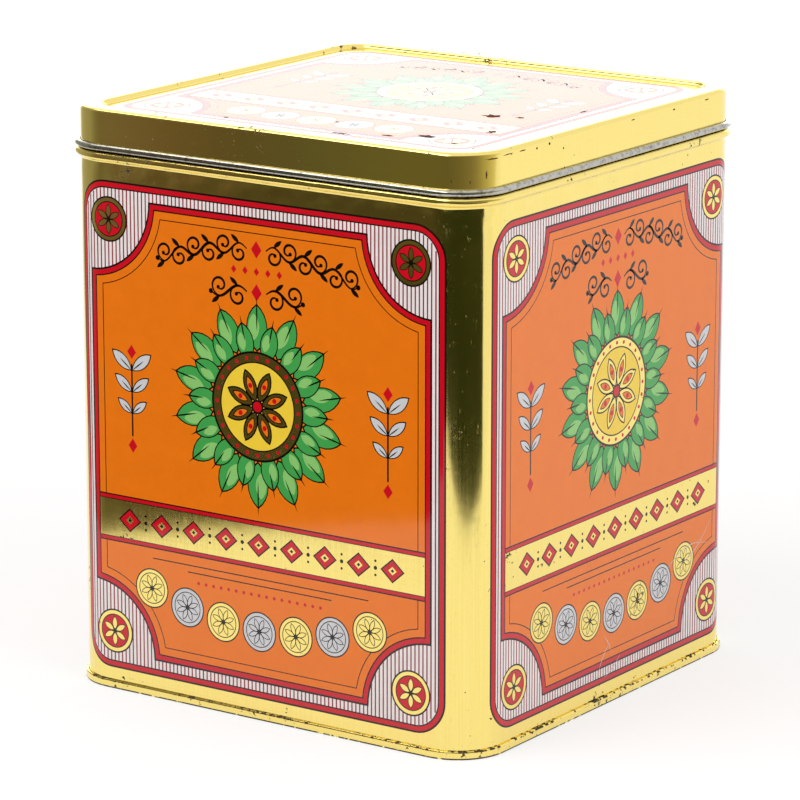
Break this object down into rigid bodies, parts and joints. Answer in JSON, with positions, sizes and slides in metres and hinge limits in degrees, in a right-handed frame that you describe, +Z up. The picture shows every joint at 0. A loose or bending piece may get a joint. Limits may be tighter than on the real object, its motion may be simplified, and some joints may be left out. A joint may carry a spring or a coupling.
{
  "type": "spice tin",
  "caption": "Square tinplate tin with rounded corners, a stop bead, a curled mouth, a double-seamed base and a slip lid with a rolled hem that lifts off.",
  "frame": {"origin": "centre of the flat ring of the base seam that the tin stands on", "axes": "+Z up through the lid; -Y out of the front face; +X out of the right-hand face"},
  "size_m": [0.1844, 0.1844, 0.2165],
  "materials": {
    "body_tinplate": "gold-lacquered tinplate, satin",
    "base_tinplate": "gold-lacquered tinplate, satin",
    "lid_tinplate": "gold-lacquered tinplate, satin"
  },
  "bodies": {
    "tin": {"body_shell": "body_tinplate", "base_end": "base_tinplate"},
    "lid": {"lid": "lid_tinplate"}
  },
  "joints": [
    {"name": "lid_lift", "type": "slide", "parent": "tin", "child": "lid", "axis": [0, 0, 1], "range_m": [0, 0.06]}
  ]
}
